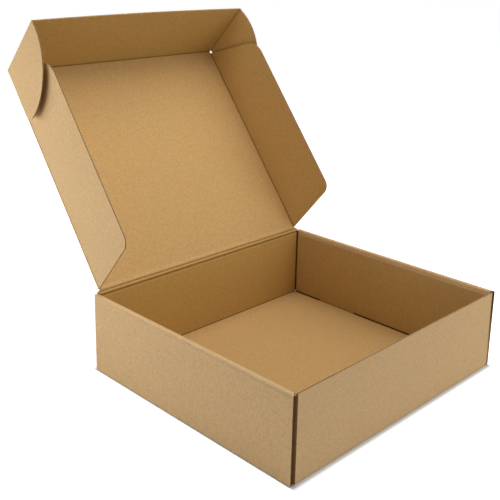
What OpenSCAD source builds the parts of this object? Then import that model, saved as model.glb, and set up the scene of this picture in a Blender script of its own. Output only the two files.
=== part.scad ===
// One-piece folding mailer box of E-flute corrugated board, shown with its lid open.
// The blank is die cut and creased, then folded up with no glue: each side wall rolls over
// the corner flaps and locks into slots in the floor with two tabs.
// Origin: middle of the underside of the floor. X runs along the front wall, Y to the back
// and Z up. All sizes are in millimetres.

/* [Box] */
// Width over the two side walls
box_w = 360; // [240:1:480]
// Depth over the front and back walls
box_d = 310; // [250:1:400]
// Height of the side walls
box_h = 97; // [75:1:120]
// How much lower the front wall's cut edge stands than the side walls
front_drop = 1; // [0.5:0.1:4]

/* [Board] */
// Thickness of the corrugated board
board_t = 1.5; // [1.2:0.1:1.8]
// Inside radius of a folded crease
crease_r = 0.5; // [0.3:0.1:0.8]
// Air between a corner flap and the side wall's inner ply
ply_gap = 0.2; // [0.2:0.1:0.6]
// Width of a crease line pressed into the inside of the board
groove_w = 1.2; // [0.8:0.1:1.4]
// Depth of a crease line
groove_depth = 0.4; // [0.2:0.1:0.5]

/* [Side walls] */
// Outside radius of the two creases over which a side wall rolls inward
roll_r = 2.2; // [1.9:0.1:2.5]
// How far a side wall's outer ply ends short of the faces of the front and back walls
side_setback = 0.4; // [0.2:0.1:2]
// The same for its inner ply, which fits between the front and back walls
inner_setback = 3.2; // [2.5:0.1:6]
// Air between the inner side wall's lower edge and the floor
inner_wall_lift = 0.5; // [0.3:0.1:2]

/* [Locking tabs] */
// Length of a locking tab on the inner side wall's lower edge
tab_len = 60; // [20:1:80]
// Distance from the middle of the side wall to the middle of a tab
tab_offset = 76; // [45:1:80]
// Size of the bevel on a tab's corners
tab_bevel = 1; // [0.4:0.1:1.2]
// Free length of the floor slot past each end of its tab
slot_play = 1.6; // [0.5:0.1:4]
// Free width of the floor slot on each side of its tab
slot_gap = 0.3; // [0.2:0.1:0.5]
// How far a tab's end stays above the underside of the floor
tab_recess = 0.3; // [0.1:0.1:0.6]

/* [Corner flaps] */
// Air between a side wall's outer ply and the corner flap behind it
corner_gap = 0.8; // [0.3:0.1:1.2]
// Outside radius of the crease between a front or back wall and its corner flap
corner_r = 3; // [2:0.1:4]
// Length of the flaps that the side walls trap
corner_flap_len = 88; // [40:1:110]
// Slope of a corner flap's upper and lower edges, in degrees
corner_flap_taper = 4; // [0:0.5:8]
// Air over and under a corner flap at its fold
corner_flap_clear = 1; // [0.6:0.1:3]
// Radius of the small relief holes at the corners of the floor
relief_r = 1.2; // [0.6:0.1:1.6]

/* [Lid panel] */
// Angle that the lid stands open, counted from closed
lid_open = 127.5; // [40:0.5:190]
// Gap between the tuck flap, once closed, and the inside of the front wall
lid_front_play = 2.5; // [0.3:0.1:4]
// Distance between the two crease lines of the lid's hinge
hinge_strip = 4; // [3.6:0.1:8]
// Width of the gap at the crease on which a flap swings
hinge_gap = 0.3; // [0.2:0.05:0.5]

/* [Side flaps of the lid] */
// Angle of a side flap to the lid panel, 90 being square and less leaning outward
side_flap_fold = 89; // [88.5:0.1:90]
// Air between a side flap's free edge, once closed, and the floor
side_flap_lift = 4; // [2:0.1:30]
// Distance from the lid's hinge to the side flap's near end
side_flap_start = 5; // [3:0.5:15]
// Distance from the tuck flap's crease to the side flap's far end
side_flap_end = 4.5; // [3:0.5:15]
// Slant of the side flap's near end, in degrees from square
side_flap_slant_near = 13; // [5:1:30]
// Slant of the side flap's far end, in degrees from square
side_flap_slant_far = 22; // [15:1:35]
// Corner radius at the near end of the side flap's free edge
side_flap_r_near = 14; // [4:1:25]
// Corner radius at the far end of the side flap's free edge
side_flap_r_far = 26; // [4:1:35]

/* [Tuck flap] */
// Air between the ends of the tuck flap's free edge, once closed, and the floor
tuck_lift = 3.2; // [3:0.1:20]
// How much deeper the tuck flap is in the middle than at its ends
tuck_bow = 2.4; // [0.5:0.1:2.5]
// Angle of the tuck flap to the lid panel, 90 being square
tuck_fold = 80.5; // [20:0.5:100]

/* [Ears] */
// Length of an ear from its crease
ear_len = 84.5; // [50:0.5:100]
// Radius of the ear's long curved edge
ear_sweep_r = 75; // [55:1:78]
// Radius of the ear's tip
ear_tip_r = 14; // [4:1:20]
// Distance from the tuck flap's crease to the ear's straight edge
ear_start = 1.5; // [1:0.5:5]
// Angle of an ear to the tuck flap, 90 being square
ear_fold = 84; // [20:1:86]
// Air between an ear, once square, and the side wall outside it
ear_play = 0.5; // [0.3:0.1:1]

/* [Hidden] */
$fn = 64;
outside_colour = [0.76, 0.61, 0.41];
inside_colour = [0.70, 0.55, 0.35];
through = 1; // what a cut reaches past the board
hair = 0.01; // what an arc is larger by, so that it crosses the edges it rounds

// The tray, counted from the outside of a side wall or an end wall
fold_r = board_t + crease_r;
flap_x = board_t + corner_gap;
inner_x = flap_x + board_t + ply_gap;
side_wall_w = inner_x + board_t;
corner_x = flap_x + corner_r;
front_h = box_h - front_drop;
flap_low = board_t + corner_flap_clear;
flap_high = min(front_h, box_h - board_t - corner_flap_clear);
flap_slope = tan(corner_flap_taper) * corner_flap_len;

// The lid. A moving panel has a round end on its crease line, and the panel that carries it
// stops hinge_stop short of that line.
hinge_stop = board_t / 2 + hinge_gap;
hinge_y = box_d / 2 - board_t / 2;
hinge_z = box_h - board_t / 2;
lid_len = box_d - 3 * board_t - lid_front_play + board_t / 2;
tuck_depth = hinge_z - board_t - tuck_lift;
side_flap_depth = hinge_z - board_t - side_flap_lift;
ear_x = box_w / 2 - side_wall_w - ear_play - board_t / 2;
side_flap_x = ear_x - board_t - hinge_gap;
side_fold_x = side_flap_x - board_t / 2 - hinge_gap / 2;
side_fold_in = board_t / 2 + hinge_gap / 2;
lid_half_w = side_flap_x - hinge_stop;
tuck_half_w = ear_x - hinge_stop;

// A quarter of a bent board round the origin, from -X to -Y
module bend(outer_r) {
    intersection() {
        difference() {
            circle(r = outer_r);
            circle(r = outer_r - board_t);
        }
        translate([-outer_r, -outer_r]) square(outer_r);
    }
}

// A thing on the left and its mirror image on the right
module both_sides() {
    children();
    mirror([1, 0, 0]) children();
}

// A thing at the back and its mirror image at the front
module both_ends() {
    children();
    mirror([0, 1, 0]) children();
}

// Section of a side wall with its outside at X = 0: up from the floor's crease, over the
// trapped corner flap and down again on the inside
module side_wall_section() {
    translate([fold_r, fold_r]) bend(fold_r);
    translate([0, fold_r]) square([board_t, box_h - roll_r - fold_r]);
    translate([roll_r, box_h - roll_r]) mirror([0, 1]) bend(roll_r);
    translate([roll_r, box_h - board_t]) square([side_wall_w - 2 * roll_r, board_t]);
    translate([side_wall_w - roll_r, box_h - roll_r]) rotate(180) bend(roll_r);
    translate([inner_x, board_t + inner_wall_lift])
        square([board_t, box_h - roll_r - board_t - inner_wall_lift]);
}

// A locking tab seen from the side
module tab_outline() {
    half = tab_len / 2;
    top = board_t + inner_wall_lift + board_t;
    polygon([[-half, top], [-half, tab_recess + tab_bevel], [-half + tab_bevel, tab_recess],
             [half - tab_bevel, tab_recess], [half, tab_recess + tab_bevel], [half, top]]);
}

// What cuts a side wall's back end: square over the outer ply, then slanting back over the
// rolled top to where the inner ply ends
module side_wall_end() {
    far = box_d / 2 + through;
    outer_y = box_d / 2 - side_setback;
    inner_y = box_d / 2 - inner_setback;
    translate([-box_w / 2, 0, -through]) linear_extrude(box_h + 2 * through)
        polygon([[-through, far], [-through, outer_y], [board_t, outer_y], [inner_x, inner_y],
                 [side_wall_w + through, inner_y], [side_wall_w + through, far]]);
}

module side_wall() {
    difference() {
        translate([-box_w / 2, box_d / 2, 0]) rotate([90, 0, 0])
            linear_extrude(box_d) side_wall_section();
        both_ends() side_wall_end();
    }
    both_ends() translate([-box_w / 2 + inner_x, tab_offset, 0]) rotate([90, 0, 90])
        linear_extrude(board_t) tab_outline();
}

// Section of a front or back wall with its outside at X = 0, from the floor's crease up
module end_wall_section(height) {
    translate([fold_r, fold_r]) bend(fold_r);
    translate([0, fold_r]) square([board_t, height - fold_r]);
}

// The fold at an end wall's left edge and the flap behind it that the side wall traps
module corner_flap() {
    translate([-box_w / 2 + corner_x, corner_r, flap_low])
        linear_extrude(flap_high - flap_low) bend(corner_r);
    translate([-box_w / 2 + flap_x, corner_r, 0]) rotate([90, 0, 90]) linear_extrude(board_t)
        polygon([[0, flap_low], [corner_flap_len, flap_low + flap_slope],
                 [corner_flap_len, flap_high - flap_slope], [0, flap_high]]);
}

// A front or back wall with its two corner flaps, its outside at Y = 0 and facing -Y
module end_wall(height) {
    translate([-box_w / 2 + corner_x, 0, 0]) rotate([90, 0, 90])
        linear_extrude(box_w - 2 * corner_x) end_wall_section(height);
    both_sides() corner_flap();
}

module floor_panel() {
    half_w = box_w / 2 - fold_r;
    half_d = box_d / 2 - fold_r;
    difference() {
        translate([-half_w, -half_d, 0]) cube([2 * half_w, 2 * half_d, board_t]);
        both_sides() both_ends()
            translate([-box_w / 2 + inner_x - slot_gap, tab_offset - tab_len / 2 - slot_play,
                       -through])
            cube([board_t + 2 * slot_gap, tab_len + 2 * slot_play, board_t + 2 * through]);
    }
}

// Small round hole where the creases meet at a corner of the floor
module corner_relief() {
    translate([-box_w / 2 + side_wall_w + relief_r / 2, box_d / 2 - board_t - relief_r / 2,
               -through])
        cylinder(r = relief_r, h = fold_r + through);
}

// A crease line along X, pressed from the -Y side into a board whose face is at Y = 0
module groove(len) {
    intersection() {
        translate([-len / 2, groove_depth - groove_w / 2, 0]) rotate([0, 90, 0])
            cylinder(r = groove_w / 2, h = len);
        translate([-len / 2, -groove_w, -groove_w]) cube([len, 2 * groove_w, 2 * groove_w]);
    }
}

module tray() {
    color(outside_colour) {
        difference() {
            union() {
                floor_panel();
                translate([0, -box_d / 2, 0]) end_wall(front_h);
                translate([0, box_d / 2, 0]) mirror([0, 1, 0]) end_wall(hinge_z - hinge_stop);
            }
            both_sides() both_ends() corner_relief();
            translate([0, box_d / 2 - board_t, hinge_z - hinge_strip / 2]) groove(box_w);
        }
        both_sides() side_wall();
    }
}

// A panel of board with the given outline, centred on Z = 0
module board() {
    translate([0, 0, -board_t / 2]) linear_extrude(board_t) children();
}

// The round end of a panel, along X
module round_end(half_w) {
    translate([-half_w, 0, 0]) rotate([0, 90, 0]) cylinder(d = board_t, h = 2 * half_w);
}

// Turns a thing drawn on the closed lid, with the hinge line as X axis, to where the lid
// stands open
module on_lid() {
    translate([0, hinge_y, hinge_z]) rotate([-lid_open, 0, 0]) children();
}

// Turns a thing drawn in one plane with the lid, in front of the tuck flap's crease as
// X axis, to where the tuck flap stands
module on_tuck_flap() {
    on_lid() translate([0, -lid_len, 0]) rotate([tuck_fold, 0, 0]) children();
}

module lid_panel() {
    color(inside_colour) on_lid() {
        difference() {
            board() translate([-lid_half_w, -lid_len + hinge_stop])
                square([2 * lid_half_w, lid_len - hinge_stop]);
            translate([0, -hinge_strip / 2, -board_t / 2]) rotate([90, 0, 0]) groove(box_w);
        }
        round_end(lid_half_w);
    }
}

// What rounding takes off a sharp corner of a flap. The corner is at the origin, with one
// edge along +X and the other turned from it by the given angle.
module corner_waste(r, angle) {
    run = r / tan(angle / 2);
    difference() {
        polygon([[run, 0], [run, -through], [-r, -r * tan(angle / 2) - through],
                 [run * cos(angle) - through * sin(angle), run * sin(angle) + through * cos(angle)],
                 [run * cos(angle), run * sin(angle)], [run, r]]);
        translate([run, r]) circle(r = r + hair);
    }
}

// Outline of a side flap: X from the lid's hinge to the tuck flap's crease, Y away from the
// lid. Its root is flush with the outside of the lid.
module side_flap_outline() {
    x0 = side_flap_start;
    x1 = lid_len - side_flap_end;
    corner0 = x0 + side_flap_depth * tan(side_flap_slant_near);
    corner1 = x1 - side_flap_depth * tan(side_flap_slant_far);
    difference() {
        polygon([[x0, -board_t / 2], [x0, 0], [corner0, side_flap_depth],
                 [corner1, side_flap_depth], [x1, 0], [x1, -board_t / 2]]);
        translate([corner0, side_flap_depth]) mirror([0, 1])
            corner_waste(side_flap_r_near, 90 + side_flap_slant_near);
        translate([corner1, side_flap_depth]) rotate(180)
            corner_waste(side_flap_r_far, 90 + side_flap_slant_far);
    }
}

// The left side flap, just outside the lid's left edge. It leans outward about its crease,
// which is where the inner faces of flap and lid meet.
module side_flap() {
    on_lid() translate([-side_fold_x, 0, -side_fold_in]) rotate([0, 90 - side_flap_fold, 0])
        translate([side_fold_x - side_flap_x, 0, side_fold_in]) rotate([-90, 0, -90])
        board() side_flap_outline();
}

module left_side_flap() {
    color(inside_colour) side_flap();
}

module right_side_flap() {
    color(inside_colour) mirror([1, 0, 0]) side_flap();
}

// Outline of the tuck flap, below its crease on the X axis. The free edge is a shallow arc.
module tuck_flap_outline() {
    deepest = tuck_depth + tuck_bow;
    arc_r = (pow(tuck_half_w, 2) + pow(tuck_bow, 2)) / (2 * tuck_bow);
    intersection() {
        translate([-tuck_half_w, -deepest]) square([2 * tuck_half_w, deepest]);
        translate([0, arc_r - deepest]) circle(r = arc_r - hair, $fn = 720);
    }
}

module tuck_flap() {
    color(inside_colour) on_tuck_flap() {
        board() tuck_flap_outline();
        round_end(tuck_half_w);
    }
}

// Outline of an ear: X away from the ear's crease, Y away from the tuck flap's crease. A
// long curve runs from the tuck flap's free edge into the small round tip.
module ear_outline() {
    sweep = [ear_len - ear_sweep_r, tuck_depth - ear_sweep_r];
    tip_y = ear_start + ear_tip_r;
    tip_x = sweep[0] + sqrt(pow(ear_sweep_r - ear_tip_r, 2) - pow(sweep[1] - tip_y, 2));
    // the two arcs meet on the line through their centres
    tip = [tip_x, tip_y];
    past_meeting = tip + (tip - sweep) * 1.5 * ear_tip_r / (ear_sweep_r - ear_tip_r);
    difference() {
        translate([0, ear_start]) square([ear_len, tuck_depth - ear_start]);
        difference() {
            translate([sweep[0], sweep[1]]) square(ear_sweep_r + through);
            translate(sweep) circle(r = ear_sweep_r + hair);
        }
        difference() {
            polygon([[tip_x, ear_start - through], [ear_len + through, ear_start - through],
                     past_meeting, tip]);
            translate(tip) circle(r = ear_tip_r + 2 * hair);
        }
    }
}

// The left ear swings on the left end of the tuck flap
module ear() {
    on_tuck_flap() translate([-ear_x, 0, 0]) rotate([0, -ear_fold, 0]) {
        board() rotate(180) ear_outline();
        translate([0, -ear_start, 0]) rotate([90, 0, 0])
            cylinder(d = board_t, h = tuck_depth - ear_start);
    }
}

module left_ear() {
    color(outside_colour) ear();
}

module right_ear() {
    color(outside_colour) mirror([1, 0, 0]) ear();
}

tray();
lid_panel();
left_side_flap();
right_side_flap();
tuck_flap();
left_ear();
right_ear();
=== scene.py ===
"""A one-piece folding mailer box of brown corrugated board, standing open on a pale floor."""

import math

import bpy
import numpy as np
from mathutils import Matrix


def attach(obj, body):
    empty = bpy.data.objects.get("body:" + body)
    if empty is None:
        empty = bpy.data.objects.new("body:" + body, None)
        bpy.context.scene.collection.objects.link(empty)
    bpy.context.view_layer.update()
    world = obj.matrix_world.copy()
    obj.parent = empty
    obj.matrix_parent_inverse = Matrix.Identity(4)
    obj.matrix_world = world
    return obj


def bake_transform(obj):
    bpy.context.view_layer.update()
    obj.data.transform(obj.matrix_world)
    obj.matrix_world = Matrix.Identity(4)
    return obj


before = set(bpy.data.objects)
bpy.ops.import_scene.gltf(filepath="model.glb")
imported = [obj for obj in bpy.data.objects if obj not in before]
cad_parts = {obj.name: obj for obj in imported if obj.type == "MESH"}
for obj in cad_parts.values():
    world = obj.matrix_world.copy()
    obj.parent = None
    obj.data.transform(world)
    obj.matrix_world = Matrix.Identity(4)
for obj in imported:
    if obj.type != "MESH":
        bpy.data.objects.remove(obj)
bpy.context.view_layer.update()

# ---------------------------------------------------------------- camera
# Stands at the box's front left corner and looks down on it, as in the photograph. Its place
# comes from a fit of the box's corners and creases to the picture.
PHOTO_PX = 500
FOCAL_PX = 840.82
CENTRE_PX = (215.65, 169.69)
CAMERA_AT = (-0.70402, -0.60370, 0.48844)
YAW, PITCH, ROLL = 43.37, -14.74, 0.557

camera_data = bpy.data.cameras.new("camera")
camera = bpy.data.objects.new("camera", camera_data)
bpy.context.scene.collection.objects.link(camera)
camera_data.sensor_width = 36.0
camera_data.lens = FOCAL_PX * 36.0 / PHOTO_PX
camera_data.shift_x = (PHOTO_PX / 2 - CENTRE_PX[0]) / PHOTO_PX
camera_data.shift_y = (CENTRE_PX[1] - PHOTO_PX / 2) / PHOTO_PX
camera_data.clip_end = 50
camera.matrix_world = (Matrix.Translation(CAMERA_AT)
                       @ Matrix.Rotation(math.radians(-YAW), 4, "Z")
                       @ Matrix.Rotation(math.radians(90 + PITCH), 4, "X")
                       @ Matrix.Rotation(math.radians(ROLL), 4, "Z"))
bpy.context.scene.camera = camera

# ---------------------------------------------------------------- tray
# The tray is folded from the same sheet as the lid: two smooth kraft liners glued to a fluted
# paper, 1.5 mm thick together. Its side walls roll over the corner flaps and lock in the floor
# with tabs, so there is no glue and no tape.
BOARD = 0.0015
FLUTE_PITCH = 0.0033
TRAY_X, TRAY_Y, TRAY_TOP = 0.180, 0.155, 0.097
INNER_PLY_X = 0.1745
OUTER_PLY_END, INNER_PLY_END = 0.1546, 0.1518
ROLL_FOOT = 0.0895
CORNER_FOLD, FOLD_RADIUS = (0.1747, 0.152), 0.00225
FRONT_TOP, CORNER_FLAP_TOP = 0.096, 0.0945
TAB_FROM, TAB_TO = 0.046, 0.106
OUTSIDE_PAPER = (0.575, 0.385, 0.192, 1.0)
INSIDE_PAPER = (0.560, 0.345, 0.132, 1.0)


def put(tree, kind, inputs=None, **settings):
    """Adds a node. An input is named or numbered; a socket is linked to it, a value is set."""
    node = tree.nodes.new("ShaderNode" + kind)
    for key, value in settings.items():
        setattr(node, key, value)
    for key, value in (inputs or {}).items():
        if isinstance(value, bpy.types.NodeSocket):
            tree.links.new(value, node.inputs[key])
        else:
            node.inputs[key].default_value = value
    return node


def sums(tree, kind, a, b=None, c=None):
    """One step of arithmetic on numbers."""
    values = {i: v for i, v in enumerate((a, b, c)) if v is not None}
    return put(tree, "Math", values, operation=kind).outputs[0]


def times(tree, *values):
    """The product of numbers."""
    product = values[0]
    for value in values[1:]:
        product = sums(tree, "MULTIPLY", product, value)
    return product


def ramp(tree, value, low, high, start=0.0, end=1.0, kind="LINEAR"):
    """Goes from start to end as a number goes from low to high, and stays there past them."""
    limits = {"Value": value, "From Min": low, "From Max": high, "To Min": start, "To Max": end}
    return put(tree, "MapRange", limits, interpolation_type=kind).outputs[0]


def mixed_colour(tree, amount, a, b):
    """Colour a where the amount is 0, colour b where it is 1."""
    return put(tree, "Mix", {0: amount, 6: a, 7: b}, data_type="RGBA").outputs[2]


def tinted(tree, a, b):
    """One colour times another."""
    return put(tree, "VectorMath", {0: a, 1: b}, operation="MULTIPLY").outputs[0]


def browned(tree, colour, left, green, blue):
    """A colour with the share 'left' of its red, and that share to the powers given of its
    green and its blue, so that it turns a warmer brown as it darkens."""
    share = put(tree, "CombineColor", {0: left, 1: sums(tree, "POWER", left, green),
                                       2: sums(tree, "POWER", left, blue)}).outputs[0]
    return tinted(tree, colour, share)


def object_parts(tree):
    """The X, Y and Z of the place on the object."""
    return put(tree, "SeparateXYZ", {0: put(tree, "TexCoord").outputs["Object"]}).outputs


def new_group(name, inputs, outputs):
    """An empty node group with named inputs, each with its kind and value, and outputs."""
    tree = bpy.data.node_groups.new(name, "ShaderNodeTree")
    for label, (kind, value) in inputs.items():
        socket = tree.interface.new_socket(name=label, in_out="INPUT", socket_type=kind)
        if value is not None:
            socket.default_value = value
    for label, kind in outputs.items():
        tree.interface.new_socket(name=label, in_out="OUTPUT", socket_type=kind)
    return tree, tree.nodes.new("NodeGroupInput").outputs, tree.nodes.new("NodeGroupOutput").inputs


def kraft_paper_group():
    """Kraft liner: cloudy formation, fine speckle, thin curved fibres where a noise crosses its
    middle value, dark flecks in some cells, and the faint washboard of the flutes underneath,
    a sine of the distance across the flutes."""
    tree, given, result = new_group(
        "kraft paper",
        {"Place": ("NodeSocketVector", None), "Across flutes": ("NodeSocketFloat", 0.0),
         "Paper": ("NodeSocketColor", OUTSIDE_PAPER), "Speckle": ("NodeSocketFloat", 1.0),
         "Washboard": ("NodeSocketFloat", 1.0)},
        {"Color": "NodeSocketColor", "Roughness": "NodeSocketFloat", "Height": "NodeSocketFloat"})
    place = given["Place"]
    cloud = put(tree, "TexNoise", {"Vector": place, "Scale": 75.0, "Detail": 2.0})
    patch = put(tree, "TexNoise", {"Vector": place, "Scale": 260.0, "Detail": 2.0,
                                   "Roughness": 0.6})
    speck = put(tree, "TexNoise", {"Vector": place, "Scale": 620.0, "Detail": 3.0,
                                   "Roughness": 0.7})
    fibre = put(tree, "TexNoise", {"Vector": place, "Scale": 330.0, "Detail": 3.0,
                                   "Roughness": 0.45, "Distortion": 0.9})
    grain = put(tree, "TexVoronoi", {"Vector": place, "Scale": 430.0})
    # thin lines where the fibre noise passes 0.5, broken up by the patches
    off = sums(tree, "ABSOLUTE", sums(tree, "SUBTRACT", fibre.outputs["Fac"], 0.5))
    thread = times(tree, ramp(tree, off, 0.0, 0.016, 1.0, 0.0),
                   ramp(tree, patch.outputs["Fac"], 0.48, 0.60))
    # a dark fleck in the middle of one cell in seven
    cell = put(tree, "SeparateColor", {"Color": grain.outputs["Color"]}).outputs[0]
    fleck = times(tree, ramp(tree, grain.outputs["Distance"], 0.10, 0.26, 1.0, 0.0),
                  ramp(tree, cell, 0.84, 0.87))
    # the washboard comes and goes over the sheet
    wave = sums(tree, "SINE", times(tree, given["Across flutes"], 2 * math.pi / FLUTE_PITCH))
    board = times(tree, wave, ramp(tree, cloud.outputs["Fac"], 0.35, 0.70), given["Washboard"])
    # brightness round 1: how much each of these adds or takes
    cloudy = sums(tree, "SUBTRACT", patch.outputs["Fac"], 0.5)
    fine = times(tree, sums(tree, "SUBTRACT", speck.outputs["Fac"], 0.5), given["Speckle"])
    light = 1.0
    for mark, amount in ((cloudy, 0.19), (fine, 0.78), (thread, 0.07), (fleck, -0.26),
                         (board, 0.016)):
        light = sums(tree, "MULTIPLY_ADD", mark, amount, light)
    # the clouds turn the paper a little redder or greyer
    redder, greyer = (1.022, 0.988, 0.960, 1.0), (0.985, 1.010, 1.030, 1.0)
    tint = mixed_colour(tree, ramp(tree, cloud.outputs["Fac"], 0.25, 0.75), redder, greyer)
    toned = put(tree, "VectorMath", {0: tinted(tree, given["Paper"], tint), "Scale": light},
                operation="SCALE").outputs[0]
    tree.links.new(toned, result["Color"])
    rough = sums(tree, "MULTIPLY_ADD", speck.outputs["Fac"], -0.12, 0.92)
    tree.links.new(sums(tree, "MULTIPLY_ADD", fleck, 0.05, rough), result["Roughness"])
    high = sums(tree, "MULTIPLY_ADD", board, 0.35, speck.outputs["Fac"])
    high = sums(tree, "MULTIPLY_ADD", thread, 0.25, high)
    tree.links.new(high, result["Height"])
    return tree


def crease_shade_group():
    """Painted shade along a crease, or a painted highlight on a ridge where the tone is above 0:
    the tone follows exp(-(d / width)^2), where d is the distance from the plane through 'On
    line' at right angles to 'Across'."""
    tree, given, result = new_group(
        "crease line",
        {"Color": ("NodeSocketColor", None), "Place": ("NodeSocketVector", None),
         "On line": ("NodeSocketVector", None), "Across": ("NodeSocketVector", None),
         "Width": ("NodeSocketFloat", 0.001), "Tone": ("NodeSocketFloat", -0.2)},
        {"Color": "NodeSocketColor"})
    from_line = put(tree, "VectorMath", {0: given["Place"], 1: given["On line"]},
                    operation="SUBTRACT").outputs[0]
    d = put(tree, "VectorMath", {0: from_line, 1: given["Across"]},
            operation="DOT_PRODUCT").outputs["Value"]
    waver = put(tree, "TexNoise", {"Vector": given["Place"], "Scale": 190.0, "Detail": 2.0})
    d = sums(tree, "DIVIDE", d, given["Width"])
    near = sums(tree, "EXPONENT", times(tree, d, d, -1.0))
    amount = sums(tree, "MULTIPLY_ADD", waver.outputs["Fac"], 0.9, 0.55)
    left = sums(tree, "ADD", times(tree, near, amount, given["Tone"]), 1.0)
    tree.links.new(browned(tree, given["Color"], left, 1.2, 2.0), result["Color"])
    return tree


def gap_shade_group():
    """Painted shade: darkens the paper by the amount given, where it turns away into a narrow gap.
    """
    tree, given, result = new_group(
        "gap shade", {"Color": ("NodeSocketColor", None), "Amount": ("NodeSocketFloat", 0.0)},
        {"Color": "NodeSocketColor"})
    left = ramp(tree, given["Amount"], 0.0, 1.0, 1.0, 0.17)
    tree.links.new(browned(tree, given["Color"], left, 1.25, 1.75), result["Color"])
    return tree


KRAFT_PAPER = kraft_paper_group()
CREASE_SHADE = crease_shade_group()
GAP_SHADE = gap_shade_group()


def paper_finish(material, paper, across, colour_lines=(), speckle=1.0, washboard=1.0,
                 shade=None, tone=None, lean=None):
    """Fills a material: the kraft paper group, then a group of painted crease shade for each line
    given as (point on it, direction across it, width, tone), then a painted tone where one is
    given, then the painted shade in the gaps, into the shader. 'lean' is a height in metres over
    the mesh, for a surface that bows gently."""
    tree = material.node_tree
    shader = tree.nodes["Principled BSDF"]
    place = put(tree, "TexCoord").outputs["Object"]
    kraft = put(tree, "Group", {"Place": place, "Paper": paper, "Across flutes": across,
                                "Speckle": speckle, "Washboard": washboard},
                node_tree=KRAFT_PAPER)
    colour = kraft.outputs["Color"]
    for on_line, direction, width, line_tone in colour_lines:
        line = {"Color": colour, "Place": place, "On line": tuple(on_line),
                "Across": tuple(direction), "Width": width, "Tone": line_tone}
        colour = put(tree, "Group", line, node_tree=CREASE_SHADE).outputs["Color"]
    if tone is not None:
        colour = put(tree, "VectorMath", {0: colour, "Scale": tone}, operation="SCALE").outputs[0]
    if shade is not None:
        colour = put(tree, "Group", {"Color": colour, "Amount": shade},
                     node_tree=GAP_SHADE).outputs["Color"]
    bump = put(tree, "Bump", {"Strength": 0.22, "Distance": 0.00025,
                              "Height": kraft.outputs["Height"]})
    if lean is not None:
        bowed = put(tree, "Bump", {"Strength": 1.0, "Distance": 1.0, "Height": lean})
        tree.links.new(bowed.outputs["Normal"], bump.inputs["Normal"])
    tree.links.new(colour, shader.inputs["Base Color"])
    tree.links.new(kraft.outputs["Roughness"], shader.inputs["Roughness"])
    tree.links.new(bump.outputs["Normal"], shader.inputs["Normal"])
    shader.inputs["Specular IOR Level"].default_value = 0.25
    return material


def new_material(name):
    """A material with its shader and no finish yet."""
    material = bpy.data.materials.new(name)
    material.use_nodes = True
    return material


def wear(node, *materials):
    """Gives a node its materials in place of the plain one."""
    node.data.materials.clear()
    for material in materials:
        node.data.materials.append(material)


def band(tree, value, low, high, soft=0.00015):
    """1 where a number lies between two limits, with soft ends."""
    return times(tree, ramp(tree, value, low - soft, low + soft),
                 ramp(tree, value, high - soft, high + soft, 1.0, 0.0))


def less_shade_low(tree, at):
    """1 at the foot of the tray's right front corner, falling to 0 near its top: there less shade
    is painted in the corner's gap and on its cut, as the gap is narrower there."""
    return times(tree, ramp(tree, at[2], 0.020, 0.080, 1.0, 0.0),
                 sums(tree, "GREATER_THAN", at[0], 0.17), sums(tree, "LESS_THAN", at[1], -0.145))


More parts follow.
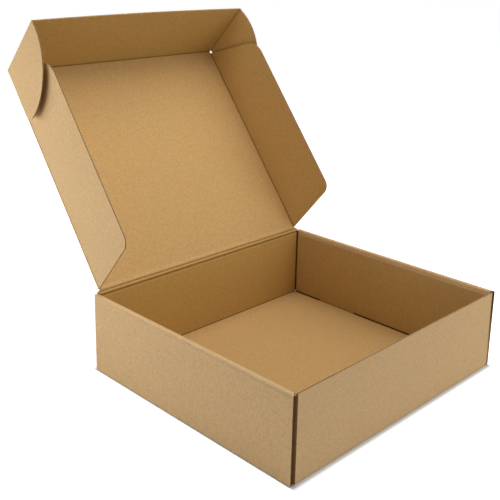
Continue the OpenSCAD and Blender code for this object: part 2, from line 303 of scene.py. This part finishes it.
def tray_material():
    """Inside paper on the floor and on the inner faces of the end walls, outside paper on all that
    is folded outward. The flutes run front to back, so they lie across X on the floor and the end
    walls, and across Z on the side walls. The gaps between the plies have painted shade: round
    the corner folds, under the inner plies except where their tabs go down, and along the end
    walls' feet. The side walls' rolled tops lean in from their creases and have a painted
    highlight."""
    material = new_material("tray_board")
    tree = material.node_tree
    at = object_parts(tree)
    way = put(tree, "SeparateXYZ", {0: put(tree, "TexCoord").outputs["Normal"]}).outputs
    out_x, out_y, up = sums(tree, "ABSOLUTE", at[0]), sums(tree, "ABSOLUTE", at[1]), at[2]
    on_side = sums(tree, "GREATER_THAN", sums(tree, "ABSOLUTE", way[0]), 0.7)
    across = put(tree, "Mix", {0: on_side, 2: at[0], 3: up}, data_type="FLOAT").outputs[0]
    # the walls' inner faces look towards the middle
    inner_ply, end_wall = (
        sums(tree, "GREATER_THAN", times(tree, way[k], sums(tree, "SIGN", at[k]), -1.0), 0.5)
        for k in (0, 1))
    floor_face = times(tree, sums(tree, "GREATER_THAN", way[2], 0.7),
                       sums(tree, "LESS_THAN", up, 2 * BOARD))
    inside = times(tree, sums(tree, "MAXIMUM", end_wall, floor_face),
                   sums(tree, "LESS_THAN", out_x, INNER_PLY_X + BOARD))
    paper = mixed_colour(tree, inside, OUTSIDE_PAPER, INSIDE_PAPER)
    # painted shade: they are a little yellower than the rest, as far up as the rolled tops, for
    # the colour that the paper takes in shade
    inner_ply = times(tree, inner_ply, sums(tree, "LESS_THAN", up, ROLL_FOOT))
    shade_yellower = mixed_colour(tree, sums(tree, "MAXIMUM", end_wall, inner_ply), (1, 1, 1, 1),
                            (0.985, 0.975, 0.74, 1))
    paper = tinted(tree, paper, shade_yellower)
    # the back wall's crease: painted shade along a groove near its top and a faint painted
    # highlight on a ridge below that
    on_back = times(tree, inside, sums(tree, "GREATER_THAN", at[1], 0.1))
    lines = [((0, 0, 0.0941), (0, 0, 1), 0.00125, times(tree, on_back, -0.50)),
             ((0, 0, 0.0917), (0, 0, 1), 0.0008, times(tree, on_back, 0.20))]
    # painted shade in the gaps round the corner folds, under the side walls' inner plies, at the
    # end walls' feet
    corner = times(tree, band(tree, out_x, INNER_PLY_X - 0.0010, TRAY_X - BOARD + 0.0002),
                   band(tree, out_y, INNER_PLY_END - 0.0004, 0.2),
                   sums(tree, "LESS_THAN", up, FRONT_TOP - 0.0002),
                   sums(tree, "MULTIPLY_ADD", less_shade_low(tree, at), -0.9, 1.0))
    at_tab = band(tree, out_y, TAB_FROM - 0.0005, TAB_TO + 0.0005, 0.0003)
    deep = sums(tree, "MULTIPLY_ADD", at_tab, -0.0010, 0.0014)
    foot = sums(tree, "LESS_THAN", sums(tree, "SUBTRACT", up, BOARD + 0.0003), deep)
    near_ply = sums(tree, "LESS_THAN", sums(tree, "SUBTRACT", INNER_PLY_X + 0.0001, out_x), deep)
    under = times(tree, foot, near_ply,
                  sums(tree, "LESS_THAN", out_x, INNER_PLY_X + BOARD + 0.0006),
                  sums(tree, "MULTIPLY_ADD", at_tab, -0.35, 1.0))
    end_foot = times(tree, inside, sums(tree, "LESS_THAN", up, BOARD + 0.0009),
                     sums(tree, "GREATER_THAN", out_y, TRAY_Y - BOARD - 0.0008), 0.72)
    shade = sums(tree, "MAXIMUM", corner, sums(tree, "MAXIMUM", under, end_foot))
    # the rolled tops lean by about 20 degrees over the last 7 mm, and are painted lighter: a
    # painted highlight for the light that they catch as they turn up
    on_wall = sums(tree, "GREATER_THAN", out_x, INNER_PLY_X - 0.0005)
    lean = times(tree, on_wall,
                 ramp(tree, up, ROLL_FOOT - 0.0002, TRAY_TOP, 0.0, -0.0026, "SMOOTHSTEP"))
    rolled = times(tree, on_wall,
                   ramp(tree, up, ROLL_FOOT - 0.0005, ROLL_FOOT + 0.0017, kind="SMOOTHSTEP"))
    rolled_highlight = sums(tree, "MULTIPLY_ADD", rolled, 0.17, 1.0)
    return paper_finish(material, paper, across, lines, shade=shade, tone=rolled_highlight, lean=lean)


wear(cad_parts["tray"], tray_material())

# How the cut board looks on edge: two liners, the waved paper between them, and the flutes as
# a dark sheet of painted shade
LINER, MEDIUM, WAVE_HEIGHT = 0.00021, 0.00019, 0.00041
SUNK, PROUD = -0.00010, 0.00010
CUT_STEP = 0.00040


def edge_material(name, paper, at_foot=None):
    """Rough paper along a cut, or the painted shade in a flute that it opens. 'at_foot' is the
    colour that it turns to low down at the tray's right front corner, where less shade is painted."""
    material = new_material(name)
    paper = (*paper, 1.0)
    if at_foot is not None:
        tree = material.node_tree
        paper = mixed_colour(tree, less_shade_low(tree, object_parts(tree)), paper, (*at_foot, 1.0))
    return paper_finish(material, paper, 0.0, speckle=1.5, washboard=0.0)


# painted shade: the dark colour of the open flutes, lighter low down at the right front corner
FLUTE_SHADE = edge_material("painted_flute_shade", (0.075, 0.034, 0.010), (0.330, 0.215, 0.100))
CUT_PAPER = edge_material("cut_paper", (0.470, 0.312, 0.152))
# painted shade: a darker copy of the cut paper for the side walls' ends, which lie in the shade
# of the corner folds
SHADED_CUT_PAPER = edge_material("shaded_cut_paper", (0.150, 0.082, 0.030), (0.470, 0.312, 0.152))


def facing_out(points, faces):
    """Faces of a closed shape of quads, turned round if the volume they enclose, summed from
    the origin over two triangles a face, comes out negative."""
    a, b, c, d = (points[faces[:, k]] for k in range(4))
    volume = (a * (np.cross(b, c) + np.cross(c, d))).sum()
    return faces if volume > 0 else faces[:, ::-1]


def bar(place, across, height):
    """A closed bar along a cut. Its four long edges are place(q, h) with q, the way through
    the board, and h, the height over the cut, taken at the limits given."""
    rows = np.stack([place(across[0], height[0]), place(across[1], height[0]),
                     place(across[1], height[1]), place(across[0], height[1])])
    n = rows.shape[1]
    k, i = np.meshgrid(np.arange(4), np.arange(n - 1), indexing="ij")
    nxt = (k + 1) % 4
    sides = np.stack([k * n + i, nxt * n + i, nxt * n + i + 1, k * n + i + 1], -1).reshape(-1, 4)
    ends = np.array([[0, 3 * n, 2 * n, n], [n - 1, 2 * n - 1, 3 * n - 1, 4 * n - 1]])
    points = rows.reshape(-1, 3)
    return points, facing_out(points - points.mean(0), np.concatenate([sides, ends]))


def cut_board(place, along, crushed=0.0):
    """The bars of one run of cut edge, each with its material's number: a flat dark sheet of
    painted shade for the flutes, the two liners, and between them the waved paper, a sine of the
    distance 'along' across the flutes, thicker where it runs steeply. 'crushed' is how far each
    liner is pressed over the open flutes."""
    half = BOARD / 2
    turn = 2 * math.pi / FLUTE_PITCH
    middle = WAVE_HEIGHT * np.sin(turn * along)
    thick = MEDIUM / 2 * np.sqrt(1 + (WAVE_HEIGHT * turn * np.cos(turn * along)) ** 2)
    one = np.ones_like(along)
    return [(*bar(place, (-0.98 * half * one, 0.98 * half * one), (SUNK, 0.00002)), 0),
            (*bar(place, (-half * one, (LINER - half + crushed) * one), (SUNK, PROUD)), 1),
            (*bar(place, ((half - LINER - crushed) * one, half * one), (SUNK, PROUD)), 1),
            (*bar(place, (middle - thick, middle + thick), (SUNK, 0.8 * PROUD)), 1)]


def new_piece(name, parts, materials):
    """One mesh object from (points, faces, material number) parts."""
    first, points, faces, kinds = 0, [], [], []
    for part_points, part_faces, kind in parts:
        points.append(part_points)
        faces.append(part_faces + first)
        kinds.append(np.full(len(part_faces), kind, np.int32))
        first += len(part_points)
    mesh = bpy.data.meshes.new(name)
    mesh.from_pydata(np.concatenate(points).tolist(), [], np.concatenate(faces).tolist())
    for material in materials:
        mesh.materials.append(material)
    mesh.polygons.foreach_set("material_index", np.concatenate(kinds))
    mesh.update()
    piece = bpy.data.objects.new(name, mesh)
    bpy.context.scene.collection.objects.link(piece)
    return piece


def cut_piece(name, body, parts, *more_materials):
    """A cut edge riding on its body, in the finish of the board."""
    piece = new_piece(name, parts, (FLUTE_SHADE, CUT_PAPER, *more_materials))
    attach(piece, body)
    return piece


def line_run(start, end, step=CUT_STEP):
    """Points along a straight line, and the way out of the board on its right-hand side."""
    start, end = np.array(start), np.array(end)
    length = np.linalg.norm(end - start)
    t = np.linspace(0, 1, max(2, int(length / step) + 1))[:, None]
    way = (end - start) / length
    return start + t * (end - start), np.broadcast_to([way[1], -way[0]], (len(t), 2))


def arc_run(centre, radius, start, end, step=CUT_STEP):
    """Points along an arc, from one angle in degrees to another, and the way out from its
    centre."""
    a, b = math.radians(start), math.radians(end)
    t = np.linspace(a, b, max(3, int(abs(b - a) * radius / step) + 1))
    out = np.stack([np.cos(t), np.sin(t)], 1)
    return np.array(centre) + radius * out, out


def run_length(points):
    """The distance from the start of a run to each of its points."""
    return np.r_[0, np.cumsum(np.linalg.norm(np.diff(points, axis=0), axis=1))]


def front_wall_cut():
    """The front wall's top, cut across its upright flutes, which are pressed shut more and
    more towards the right."""
    x = line_run((-CORNER_FOLD[0], 0), (CORNER_FOLD[0], 0))[0][:, 0]
    crushed = 0.00038 * np.clip((x + 0.13) / 0.20, 0, 1)
    middle = BOARD / 2 - TRAY_Y
    return cut_board(lambda q, h: np.stack([x, middle + q, FRONT_TOP + h + 0 * x], 1), x, crushed)


def corner_fold_cut(side, end):
    """The top of the fold between an end wall and its corner flap: a quarter circle."""
    points, out = arc_run((0, 0), FOLD_RADIUS, 180, 270)
    flip = np.array([-side, -end])

    def place(q, h):
        flat = (points + q[:, None] * out) * flip
        return np.stack([side * CORNER_FOLD[0] + flat[:, 0], end * CORNER_FOLD[1] + flat[:, 1],
                         CORNER_FLAP_TOP + h + 0 * q], 1)
    return cut_board(place, run_length(points))


def side_wall_cut(side, end):
    """The end of a side wall: up the outer ply, over the roll and down the inner ply. The cut
    slants back over the roll, from the outer ply's end to the inner ply's."""
    runs = [arc_run((0.0020, 0.0020), 0.00125, 262, 180),
            line_run((0.00075, 0.0022), (0.00075, 0.0946)),
            arc_run((0.0022, 0.0948), 0.00145, 180, 90),
            line_run((0.0023, 0.09625), (0.0032, 0.09625)),
            arc_run((0.0033, 0.0948), 0.00145, 90, 0),
            line_run((0.00475, 0.0946), (0.00475, 0.0021))]
    points = np.concatenate([r[0] for r in runs])
    way = np.gradient(points, axis=0)
    way = way / np.linalg.norm(way, axis=1)[:, None]
    out = np.stack([-way[:, 1], way[:, 0]], 1)

    def place(q, h):
        flat = points + q[:, None] * out
        back = np.interp(flat[:, 0], [0.0015, 0.0040], [OUTER_PLY_END, INNER_PLY_END])
        return np.stack([side * (TRAY_X - flat[:, 0]), end * (back + h), flat[:, 1]], 1)
    bars = cut_board(place, run_length(points))
    # the inner liner and the waved paper take the darker cut paper, a painted shade
    return [(points, faces, kind if i in (0, 2) else 2)
            for i, (points, faces, kind) in enumerate(bars)]


tray_cuts = front_wall_cut()
for cut_side in (-1, 1):
    for cut_end in (-1, 1):
        tray_cuts += corner_fold_cut(cut_side, cut_end) + side_wall_cut(cut_side, cut_end)
cut_piece("tray_cut_edges", "tray", tray_cuts, SHADED_CUT_PAPER)

# ---------------------------------------------------------------- lid panel
# The lid is the sheet's far part, creased along the back wall's top. It stands open and leans
# back, so that its inside faces the front.
LID_OPEN = math.radians(127.5)
HINGE = np.array([0.0, TRAY_Y - BOARD / 2, TRAY_TOP - BOARD / 2])
UP_LID = np.array([0.0, -math.cos(LID_OPEN), math.sin(LID_OPEN)])
LID_INWARD = np.array([0.0, -math.sin(LID_OPEN), -math.cos(LID_OPEN)])
LID_LENGTH = 0.30375
LID_CREASE_X = 0.1705


def length_along(tree, a, direction):
    """The length of a along a fixed direction."""
    return put(tree, "VectorMath", {0: a, 1: direction}, operation="DOT_PRODUCT").outputs["Value"]


def panel_material(name, inward, across, lines=(), washboard=1.0, inside_paper=INSIDE_PAPER,
                   ear_gap_shadow=None):
    """A flat panel's board: inside paper where the face looks along 'inward', outside paper on
    the other face, with the flutes at right angles to 'across'. The last argument is a point and
    a direction: a painted shadow makes the outside darker along an arc, 62 to 74 mm round the
    point on that side, for the shade in the gap under an ear."""
    material = new_material(name)
    tree = material.node_tree
    coord = put(tree, "TexCoord").outputs
    inside = sums(tree, "GREATER_THAN", length_along(tree, coord["Normal"], tuple(inward)), 0.5)
    paper = mixed_colour(tree, inside, OUTSIDE_PAPER, inside_paper)
    shade = None
    if ear_gap_shadow is not None:
        off = put(tree, "VectorMath", {0: coord["Object"], 1: tuple(ear_gap_shadow[0])},
                  operation="SUBTRACT").outputs[0]
        ahead = ramp(tree, length_along(tree, off, tuple(ear_gap_shadow[1])), -0.002, 0.006)
        radius = put(tree, "VectorMath", {0: tinted(tree, off, (0, 1, 1))},
                     operation="LENGTH").outputs["Value"]
        shade = times(tree, sums(tree, "SUBTRACT", 1.0, inside), 0.32,
                      band(tree, radius, 0.062, 0.0738, 0.0016), ahead)
    return paper_finish(material, paper,
                        length_along(tree, coord["Object"], tuple(across)), lines,
                        washboard=washboard, shade=shade)


def on_lid(x, up, inward=0.0):
    """A point given across the lid, up it from the hinge, and inward from its middle plane."""
    x, up, inward = np.broadcast_arrays(x, up, inward)
    return (np.stack([x, 0 * x, 0 * x], -1) + HINGE + up[..., None] * UP_LID
            + inward[..., None] * LID_INWARD)


# painted shade along the hinge's groove, the tuck flap's crease and the side flaps' creases, and a
# faint painted highlight on the ridge by the hinge
LID_LINES = [
    (on_lid(0, 0.0022), UP_LID, 0.00125, -0.42),
    (on_lid(0, 0.0060), UP_LID, 0.0021, 0.090),
    (on_lid(0, 0.3028), UP_LID, 0.00080, -0.50),
    (on_lid(-LID_CREASE_X, 0), (1, 0, 0), 0.00075, -0.55),
    (on_lid(LID_CREASE_X, 0), (1, 0, 0), 0.00075, -0.55),
]
wear(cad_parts["lid_panel"],
     panel_material("lid_board", LID_INWARD, (1, 0, 0), LID_LINES))


def fold_rows(radius, axis_at, near_out, near_way, far_out, far_way, back, on, steps=8):
    """Rows of points round a fold, from the near panel to the far one: along the near panel's
    face, a turn about the axis from one panel's outward direction to the other's, and along
    the far panel's face. A hollow fold meets in a corner instead of turning."""
    near_out, near_way, far_out, far_way = map(np.array, (near_out, near_way, far_out, far_way))
    start = [axis_at + radius * near_out - t * near_way for t in (back, back / 2)]
    end = [axis_at + radius * far_out + t * far_way for t in (on / 2, on)]
    cosine = float(near_out @ far_out)
    if near_way @ far_out > 0:
        turn = math.acos(cosine)
        t = np.linspace(0, 1, steps)[:, None]
        round_fold = (np.sin((1 - t) * turn) * near_out + np.sin(t * turn) * far_out)
        middle = list(axis_at + radius * round_fold / math.sin(turn))
    else:
        middle = [axis_at + radius * (near_out + far_out) / (1 + cosine)]
    return np.stack(start + middle + end)


def fold_cover(name, rows, inner_rows, ends, material):
    """A thin closed strip of liner: the outer rows and the inner rows, both carried from one
    end to the other. 'ends' are the two shifts along the fold, one pair for all rows."""
    m = len(rows)
    points = np.concatenate([rows + ends[0], rows + ends[1], inner_rows + ends[0],
                             inner_rows + ends[1]])
    i = np.arange(m - 1)
    skins = [np.stack([i, i + 1, m + i + 1, m + i], 1),
             np.stack([2 * m + i, 3 * m + i, 3 * m + i + 1, 2 * m + i + 1], 1),
             np.stack([i, 2 * m + i, 2 * m + i + 1, i + 1], 1),
             np.stack([m + i, m + i + 1, 3 * m + i + 1, 3 * m + i], 1),
             np.array([[0, m, 3 * m, 2 * m], [m - 1, 3 * m - 1, 4 * m - 1, 2 * m - 1]])]
    faces = np.concatenate(skins)
    piece = new_piece(name, [(points, facing_out(points - points.mean(0), faces), 0)],
                      (material,))
    return piece


# The hinge crease: the board bulges inward between its two grooves, over the whole back wall
HINGE_HALF = 0.1758
# painted shade along both grooves of the hinge crease
inside_crease = panel_material("inside_crease_paper", LID_INWARD, (1, 0, 0),
                               [((0, 0, 0.0948), (0, 0, 1), 0.00040, -0.45),
                                (on_lid(0, 0.0014), UP_LID, 0.00040, -0.40)])
outside_crease = new_material("outside_crease_paper")
paper_finish(outside_crease, OUTSIDE_PAPER, 0.0, washboard=0.0)
ridge_fold = [(r, HINGE, (0, -1, 0), (0, 0, 1), LID_INWARD, UP_LID, 0.00145, 0.00135)
              for r in (0.00092, 0.00072)]
hinge_ends = (np.array([-HINGE_HALF, 0, 0]), np.array([HINGE_HALF, 0, 0]))
hinge_ridge = fold_cover("hinge_inner_crease", fold_rows(*ridge_fold[0]),
                         fold_rows(*ridge_fold[1]), hinge_ends, inside_crease)
on_lid(0, 0.0012, 0.0009)
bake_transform(hinge_ridge)
back_fold = [(r, HINGE, (0, 1, 0), (0, 0, 1), -LID_INWARD, UP_LID, 0.0018, 0.0022)
             for r in (0.00081, 0.00068)]
hinge_back = fold_cover("hinge_outer_crease", fold_rows(*back_fold[0]),
                        fold_rows(*back_fold[1]), hinge_ends, outside_crease)
on_lid(0, 0.0012, -0.0008)
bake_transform(hinge_back)


def hinge_shoulder(side, hole):
    """The lid's small sloping shoulder at one end of the hinge, as thick as the board: a ring
    between its outline and the rim of a pinhole, in distances out along the hinge and up the
    lid. 'hole' is the pinhole's half width."""
    outline = np.array([[0.1701, 0.0002], [0.1758, 0.0002], [0.1728, 0.0032], [0.1701, 0.0049]])
    rim = np.array([0.1727, 0.0014]) + hole * np.array([[-1, -1], [1, -1], [0.9, 0.8], [-1, 1]])
    flat = np.concatenate([outline, rim])
    skins = [on_lid(side * flat[:, 0], flat[:, 1], t) for t in (-0.00074, 0.00074)]
    points = np.concatenate(skins)
    i = np.arange(4)
    nxt = (i + 1) % 4
    faces = np.concatenate([np.stack([i + 4, nxt + 4, nxt, i], 1),
                            np.stack([i + 8, nxt + 8, nxt + 12, i + 12], 1),
                            np.stack([i, nxt, nxt + 8, i + 8], 1),
                            np.stack([i + 12, nxt + 12, nxt + 4, i + 4], 1)])
    return points, facing_out(points - points.mean(0), faces), 0


shoulders = new_piece("lid_hinge_shoulders",
                      [hinge_shoulder(-1, 0.0002), hinge_shoulder(1, 0.0009)], (inside_crease,))
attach(shoulders, "lid_panel")

# ---------------------------------------------------------------- side flaps
# Two tapered flaps with rounded corners, creased along the lid's edges. They stand square to
# the lid and drop inside the side walls when the box is closed.
SIDE_LEAN = math.radians(1.0)
FOLD_IN = 0.0009
LONG_STEP = 0.0025
# painted light: a lighter inside paper for the side flaps and the ears than for the lid
FLAP_INSIDE_PAPER = (0.610, 0.396, 0.145, 1.0)
TUCK_FOLD = math.radians(80.5)
TUCK_DOWN = math.cos(TUCK_FOLD) * UP_LID + math.sin(TUCK_FOLD) * LID_INWARD
# the middle of the ears' round edge; round it the outside of these flaps has a painted shadow
# of the gap under the ear
EAR_MIDDLE = on_lid(0, 0.2972, 0.0179)


def side_flap_frame(side):
    """Inward normal and the direction away from the lid of a side flap, -1 left, 1 right."""
    inward = np.array([-side, 0, 0]) * math.cos(SIDE_LEAN) + LID_INWARD * math.sin(SIDE_LEAN)
    away = LID_INWARD * math.cos(SIDE_LEAN) + np.array([side, 0, 0]) * math.sin(SIDE_LEAN)
    return inward, away


def panel_cut(runs, place_flat, through, across):
    """The cut edge of a flat panel from runs in its own plane. place_flat puts a flat point in
    the model, 'through' is the way through the board, and 'across' gives each flat point's
    distance across the flutes."""
    parts = []
    for points, out in runs:
        base = place_flat(points)
        way = place_flat(points + out) - base
        parts += cut_board(lambda q, h: base + q[:, None] * through + h * way, across(points))
    return parts


def side_flap_cut(side):
    """Along the outline, in distances up the lid and away from it. The free edge runs along
    the flutes, so it shows one open flute from end to end."""
    inward, away = side_flap_frame(side)
    pivot = on_lid(side * 0.17055, 0, FOLD_IN)

    def place_flat(points):
        return (pivot + points[:, :1] * UP_LID + (points[:, 1:] - FOLD_IN) * away
                - FOLD_IN * inward)
    runs = [arc_run((0.037087, 0.07675), 0.014, 167, 90),
            arc_run((0.24504, 0.06475), 0.026, 90, 22),
            line_run((0.023445, 0.07990), (0.0050, 0.0)),
            line_run((0.24504, 0.09075), (0.037087, 0.09075), LONG_STEP),
            line_run((0.29925, 0.0), (0.26915, 0.07449))]
    return panel_cut(runs, place_flat, inward, lambda points: points[:, 1])


for flap_name, flap_side in (("left_side_flap", -1), ("right_side_flap", 1)):
    flap_inward, flap_away = side_flap_frame(flap_side)
    flap_root = on_lid(flap_side * 0.17145, 0, FOLD_IN)
    # painted shade along the crease to the lid, and the painted shadow of the ear's gap outside
    wear(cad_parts[flap_name],
         panel_material(flap_name + "_board", flap_inward, flap_away,
                        [(flap_root, flap_away, 0.0008, -0.50)],
                        inside_paper=FLAP_INSIDE_PAPER, ear_gap_shadow=(EAR_MIDDLE, TUCK_DOWN)))
    cut_piece(flap_name + "_cut_edge", flap_name, side_flap_cut(flap_side))
    # the outer liner runs on from the lid to the flap, with its rows close over the fold
    over = np.r_[0.1695, np.linspace(0.17035, 0.17080, 9), 0.1716]
    cover = fold_cover(flap_name + "_outer_crease", on_lid(flap_side * over, 0, -0.00080),
                       on_lid(flap_side * over, 0, -0.00070),
                       (0.0052 * UP_LID, 0.2990 * UP_LID), outside_crease)
    on_lid(flap_side * 0.17037, 0, -0.00075)
    on_lid(flap_side * 0.17078, 0, -0.00075)
    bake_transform(cover)

# ---------------------------------------------------------------- tuck flap
# The lid's front flap, folded a little past square. It is tucked behind the front wall when
# the box is closed, and its free edge is cut to a shallow arc.
TUCK_DEPTH, TUCK_BOW, TUCK_HALF = 0.09155, 0.0024, 0.1722
TUCK_INWARD = -math.sin(TUCK_FOLD) * UP_LID + math.cos(TUCK_FOLD) * LID_INWARD
TUCK_CREASE = on_lid(0, LID_LENGTH)
# painted shade: the tuck flap's inside paper is darker than the lid's, and its crease and its ends
# have painted shade lines
wear(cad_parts["tuck_flap"],
     panel_material("tuck_flap_board", TUCK_INWARD, (1, 0, 0),
                    [(TUCK_CREASE + 0.0007 * TUCK_DOWN, TUCK_DOWN, 0.0008, -0.50),
                     ((-0.1724, 0, 0), (1, 0, 0), 0.0007, -0.45),
                     ((0.1724, 0, 0), (1, 0, 0), 0.0007, -0.45)],
                    inside_paper=(0.485, 0.302, 0.092, 1.0)))


def tuck_flap_cut():
    """The free edge, cut across the flutes along an arc of the radius that bows it out by
    TUCK_BOW over its width. The knife has pressed it nearly shut."""
    radius = (TUCK_HALF ** 2 + TUCK_BOW ** 2) / (2 * TUCK_BOW)
    x = line_run((-TUCK_HALF, 0), (TUCK_HALF, 0))[0][:, 0]
    down = TUCK_DEPTH + TUCK_BOW - radius + np.sqrt(radius ** 2 - x ** 2)

    def place(q, h):
        return on_lid(x, LID_LENGTH) + (down + h)[:, None] * TUCK_DOWN + q[:, None] * TUCK_INWARD
    return cut_board(place, x, 0.00040)


cut_piece("tuck_flap_cut_edge", "tuck_flap", tuck_flap_cut())
tuck_fold = [(r, TUCK_CREASE, -LID_INWARD, UP_LID, -TUCK_INWARD, TUCK_DOWN, 0.0020, 0.0012)
             for r in (0.00080, 0.00070)]
tuck_cover = fold_cover("tuck_flap_outer_crease", fold_rows(*tuck_fold[0]),
                        fold_rows(*tuck_fold[1]),
                        (np.array([-0.1700, 0, 0]), np.array([0.1700, 0, 0])), outside_crease)
on_lid(0, LID_LENGTH - 0.0008, -0.0008)
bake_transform(tuck_cover)

# ---------------------------------------------------------------- ears
# Rounded ears creased to the tuck flap's ends. They lie outside the side flaps and slip with
# them into the tray, which keeps the lid shut.
EAR_FOLD = math.radians(84.0)
EAR_CREASE_X = 0.17325


def ear_frame(side):
    """Inward normal and the direction away from the crease of an ear, -1 left, 1 right."""
    out = np.array([side, 0.0, 0.0])
    away = math.cos(EAR_FOLD) * out + math.sin(EAR_FOLD) * TUCK_INWARD
    inward = -math.sin(EAR_FOLD) * out + math.cos(EAR_FOLD) * TUCK_INWARD
    return inward, away


def ear_cut(side):
    """Along the outline, in distances away from the ear's crease and down the tuck flap: a
    short straight, a long curve, the small round tip, and back along the tuck's crease."""
    inward, away = ear_frame(side)
    crease = on_lid(side * EAR_CREASE_X, LID_LENGTH)

    def place_flat(points):
        return crease + points[:, :1] * away + points[:, 1:] * TUCK_DOWN
    runs = [line_run((0.0095, 0.09155), (0.0, 0.09155)),
            arc_run((0.0095, 0.01655), 0.075, 90, -0.986),
            arc_run((0.07049, 0.0155), 0.014, -0.986, -90),
            line_run((0.0, 0.0015), (0.07049, 0.0015))]
    return panel_cut(runs, place_flat, inward, lambda points: points[:, 0])


for ear_name, ear_side in (("left_ear", -1), ("right_ear", 1)):
    ear_inward, ear_away = ear_frame(ear_side)
    ear_crease = on_lid(ear_side * EAR_CREASE_X, LID_LENGTH)
    # painted shade along the ear's crease; its inside paper is the lighter one, a painted light
    wear(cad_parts[ear_name],
         panel_material(ear_name + "_board", ear_inward, ear_away,
                        [(ear_crease + 0.0006 * ear_away, ear_away, 0.0008, -0.45)],
                        inside_paper=FLAP_INSIDE_PAPER))
    cut_piece(ear_name + "_cut_edge", ear_name, ear_cut(ear_side))
    out_way = np.array([ear_side, 0.0, 0.0])
    ear_fold = [(r, ear_crease, -TUCK_INWARD, out_way, -ear_inward, ear_away, 0.0020, 0.0012)
                for r in (0.00080, 0.00070)]
    ear_cover = fold_cover(ear_name + "_outer_crease", fold_rows(*ear_fold[0]),
                           fold_rows(*ear_fold[1]), (0.0020 * TUCK_DOWN, 0.0914 * TUCK_DOWN),
                           outside_crease)
    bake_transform(ear_cover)

# ---------------------------------------------------------------- floor
# A plain pale table that runs on past the picture's edges. The rays that show it to the camera,
# directly or in a gloss, find it white, apart from a soft shadow round the foot of the tray.
# That shadow is partly painted: the white glow fades out and turns bluish towards the foot.


def seen_white(tree):
    """1 for the rays that show the background: camera, glossy and transmission rays."""
    path = put(tree, "LightPath").outputs
    return sums(tree, "MAXIMUM", path["Is Camera Ray"],
                sums(tree, "MAXIMUM", path["Is Glossy Ray"], path["Is Transmission Ray"]))


floor_mesh = bpy.data.meshes.new("floor")
floor_mesh.from_pydata([(-8, -8, 0), (8, -8, 0), (8, 8, 0), (-8, 8, 0)], [], [(0, 1, 2, 3)])
floor = bpy.data.objects.new("floor", floor_mesh)
bpy.context.scene.collection.objects.link(floor)
floor_paint = new_material("floor_paint")
tree = floor_paint.node_tree
tree.nodes.remove(tree.nodes["Principled BSDF"])
matt = put(tree, "BsdfDiffuse", {"Color": (0.8, 0.8, 0.8, 1)})
# the distance from the tray's foot, which counts five times beside it, where the painted shadow
# is narrow
spot = object_parts(tree)
beside = sums(tree, "SUBTRACT", sums(tree, "ABSOLUTE", spot[0]), TRAY_X)
before = sums(tree, "SUBTRACT", sums(tree, "ABSOLUTE", sums(tree, "ADD", spot[1], 0.001)),
              TRAY_Y + 0.001)
beside = times(tree, sums(tree, "MAXIMUM", beside, 0.0), 5.0)
before = sums(tree, "MAXIMUM", before, 0.0)
away = sums(tree, "SQRT", sums(tree, "ADD", times(tree, beside, beside),
                               times(tree, before, before)))
# painted shadow: the glow is weaker and bluer near the tray's foot
white_again = sums(tree, "POWER", ramp(tree, away, 0.0003, 0.0085), 0.62)
shadow_blue = mixed_colour(tree, white_again, (0.68, 0.86, 1.0, 1), (1, 1, 1, 1))
glow = put(tree, "Emission", {"Color": shadow_blue, "Strength": white_again})
both = put(tree, "AddShader", {0: matt.outputs[0], 1: glow.outputs[0]})
mixed = put(tree, "MixShader", {0: seen_white(tree), 1: matt.outputs[0], 2: both.outputs[0]})
tree.links.new(mixed.outputs[0], tree.nodes["Material Output"].inputs["Surface"])
floor_mesh.materials.append(floor_paint)

# ---------------------------------------------------------------- studio light
# One large soft lamp high on the right, small ones low on the left, behind, in front and on the
# right that lift the sides facing them, and two over the open box.
LAMPS = {    # place, side in metres, watts
    "high_right": ((1.20, -0.60, 2.00), 2.4, 27.3),
    "over_lid": ((0.00, 0.10, 1.00), 0.5, 3.2),
    "over_floor": ((0.30, -0.60, 1.20), 0.5, 2.2),
    "behind_left": ((-0.60, 0.70, 0.35), 0.4, 1.6),
    "low_left": ((-0.80, 0.45, 0.15), 0.4, 2.75),
    "left": ((-1.50, -0.30, 0.20), 0.5, 2.5),
    "low_front": ((-0.30, -1.20, 0.15), 0.6, 2.9),
    "front_right": ((0.50, -1.20, 0.12), 0.6, 1.7),
    "low_right": ((0.50, -0.45, 0.12), 0.3, 0.48),
}


def soft_lamp(name, place, size, power):
    """A square soft box that faces the middle of the object."""
    data = bpy.data.lights.new(name, "AREA")
    data.shape, data.size, data.energy = "SQUARE", size, power
    lamp = bpy.data.objects.new(name, data)
    bpy.context.scene.collection.objects.link(lamp)
    back = np.array(place) - np.array([0.0, 0.1, 0.12])
    back = back / np.linalg.norm(back)
    right = np.cross([0, 0, 1.0], back) + np.array([1e-6, 0, 0])
    right = right / np.linalg.norm(right)
    turn = np.stack([right, np.cross(back, right), back], 1)
    lamp.matrix_world = Matrix.Translation(place) @ Matrix(turn.tolist()).to_4x4()
    lamp.visible_camera = False


for lamp_name, (lamp_at, lamp_size, lamp_power) in LAMPS.items():
    soft_lamp(lamp_name, lamp_at, lamp_size, lamp_power)

world = bpy.data.worlds.new("studio")
bpy.context.scene.world = world
world.use_nodes = True
tree = world.node_tree
room = tree.nodes["Background"]
room.inputs["Color"].default_value = (1, 1, 1, 1)
room.inputs["Strength"].default_value = 0.0
white = put(tree, "Background", {"Color": (1, 1, 1, 1), "Strength": 1.0})
mixed = put(tree, "MixShader", {0: seen_white(tree), 1: room.outputs[0], 2: white.outputs[0]})
tree.links.new(mixed.outputs[0], tree.nodes["World Output"].inputs["Surface"])

bpy.context.scene.view_settings.view_transform = "Standard"
